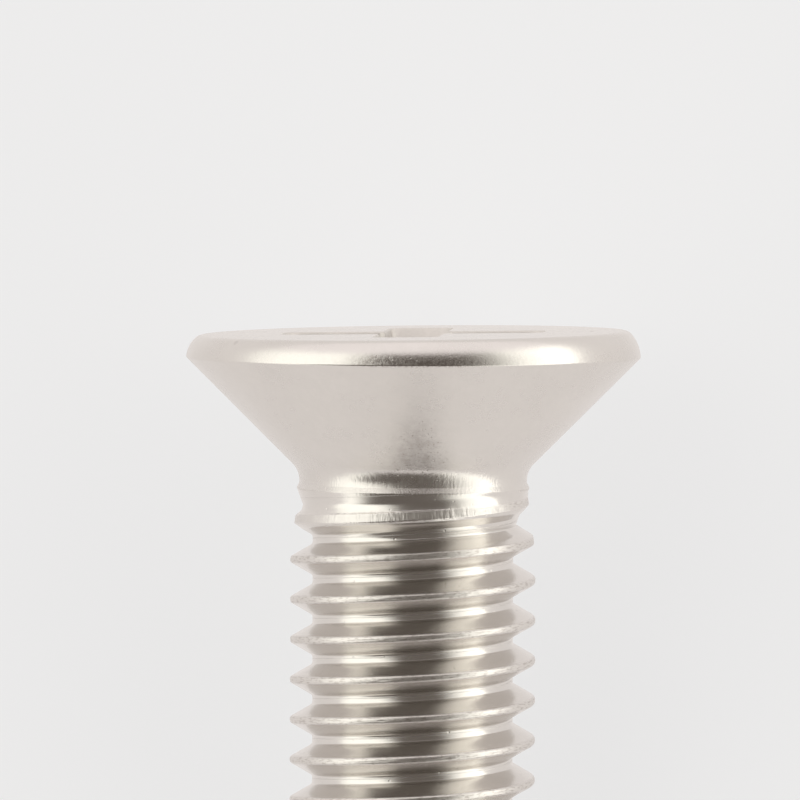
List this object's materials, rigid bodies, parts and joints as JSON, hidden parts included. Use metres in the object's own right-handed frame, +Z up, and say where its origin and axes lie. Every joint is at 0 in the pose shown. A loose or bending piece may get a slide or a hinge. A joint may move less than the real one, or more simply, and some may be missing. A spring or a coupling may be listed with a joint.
{
  "type": "countersunk machine screw",
  "caption": "Flat-headed countersunk machine screw with a cross recess and a coarse thread up to the neck, lying on its side.",
  "frame": {"origin": "centre of the screw's box on the ground it lies on, so the rim of the head and the last crest touch z = 0", "axes": "+X along the ground from the head towards the tip, +Y across the screw, +Z up; the screw's own axis dips by 10.876 degrees towards the tip"},
  "size_m": [0.013, 0.009, 0.0088],
  "materials": {
    "steel": "bright rolled stainless steel"
  },
  "bodies": {
    "root": {"machine_screw": "steel"}
  },
  "joints": []
}
